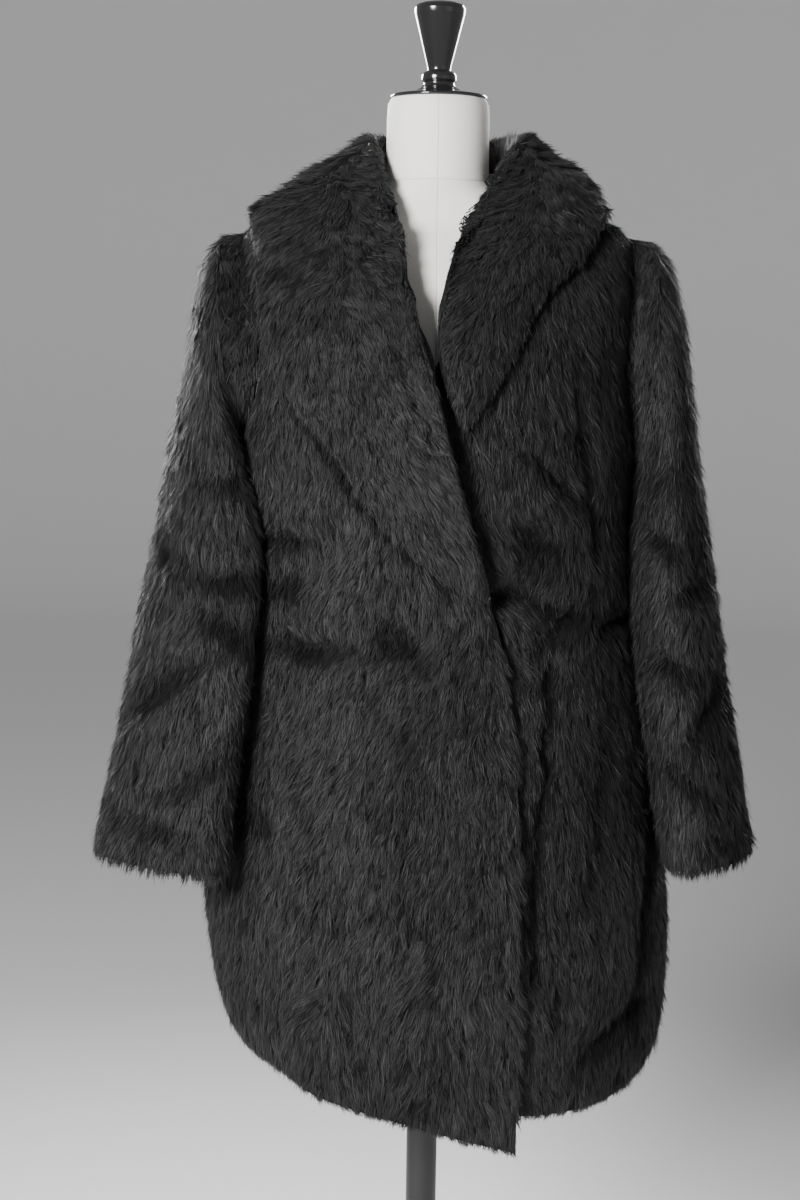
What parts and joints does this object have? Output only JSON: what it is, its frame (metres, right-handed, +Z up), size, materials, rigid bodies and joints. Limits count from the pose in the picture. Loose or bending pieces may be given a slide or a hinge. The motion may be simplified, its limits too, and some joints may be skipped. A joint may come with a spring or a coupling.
{
  "type": "faux fur coat on a limbless dress form",
  "caption": "Wrap-front faux fur coat with a wide shawl collar and long open sleeves, worn by a limbless dress form on a round stand.",
  "frame": {"origin": "middle of the stand's underside, on the floor", "axes": "+Z up, -Y towards the coat's front, +X towards the wearer's left"},
  "size_m": [0.661, 0.38, 1.5173],
  "materials": {
    "fur": "charcoal faux fur, plush pile",
    "jersey": "off-white jersey, matt",
    "lacquer": "black gloss lacquer",
    "painted_steel": "satin black"
  },
  "bodies": {
    "root": {"back": "fur", "front_right": "fur", "front_left": "fur", "sleeve_right": "fur", "sleeve_left": "fur", "collar_right": "fur", "collar_left": "fur", "form_body": "jersey", "neck_cap": "lacquer", "pole": "painted_steel", "base": "painted_steel"}
  },
  "joints": []
}
